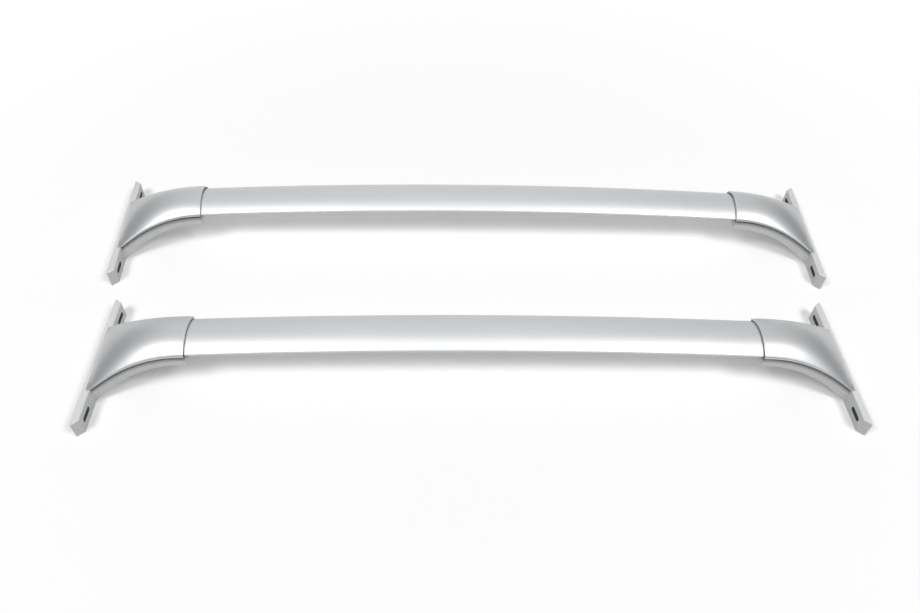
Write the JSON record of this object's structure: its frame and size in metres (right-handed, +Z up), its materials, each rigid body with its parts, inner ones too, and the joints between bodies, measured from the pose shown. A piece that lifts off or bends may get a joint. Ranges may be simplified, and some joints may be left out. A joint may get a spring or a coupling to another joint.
{
  "type": "pair of roof crossbars",
  "caption": "Crowned oval roof crossbars on flared feet with slotted upright flanges that bolt to a roof's side rails.",
  "frame": {"origin": "on the ground plane, under the middle of the pair's box", "axes": "+X along the bars to the right, +Y from the front bar to the rear bar, +Z up"},
  "size_m": [1.009, 0.4352, 0.0795],
  "materials": {
    "anodised_tube": "satin silver anodising",
    "cast_base": "satin silver paint on a casting",
    "painted_cover": "smooth silver paint on a moulding",
    "black_gasket": "matt black rubber",
    "zinc_screws": "bright zinc plate"
  },
  "bodies": {
    "root": {"front_bar_tube": "anodised_tube", "front_left_foot_base": "cast_base", "front_left_foot_cover": "painted_cover", "front_left_mouth_gasket": "black_gasket", "front_left_tube_screws": "zinc_screws", "front_left_cover_screws": "zinc_screws", "front_right_foot_base": "cast_base", "front_right_foot_cover": "painted_cover", "front_right_mouth_gasket": "black_gasket", "front_right_tube_screws": "zinc_screws", "front_right_cover_screws": "zinc_screws", "rear_bar_tube": "anodised_tube", "rear_left_foot_base": "cast_base", "rear_left_foot_cover": "painted_cover", "rear_left_mouth_gasket": "black_gasket", "rear_left_tube_screws": "zinc_screws", "rear_left_cover_screws": "zinc_screws", "rear_right_foot_base": "cast_base", "rear_right_foot_cover": "painted_cover", "rear_right_mouth_gasket": "black_gasket", "rear_right_tube_screws": "zinc_screws", "rear_right_cover_screws": "zinc_screws"}
  },
  "joints": []
}
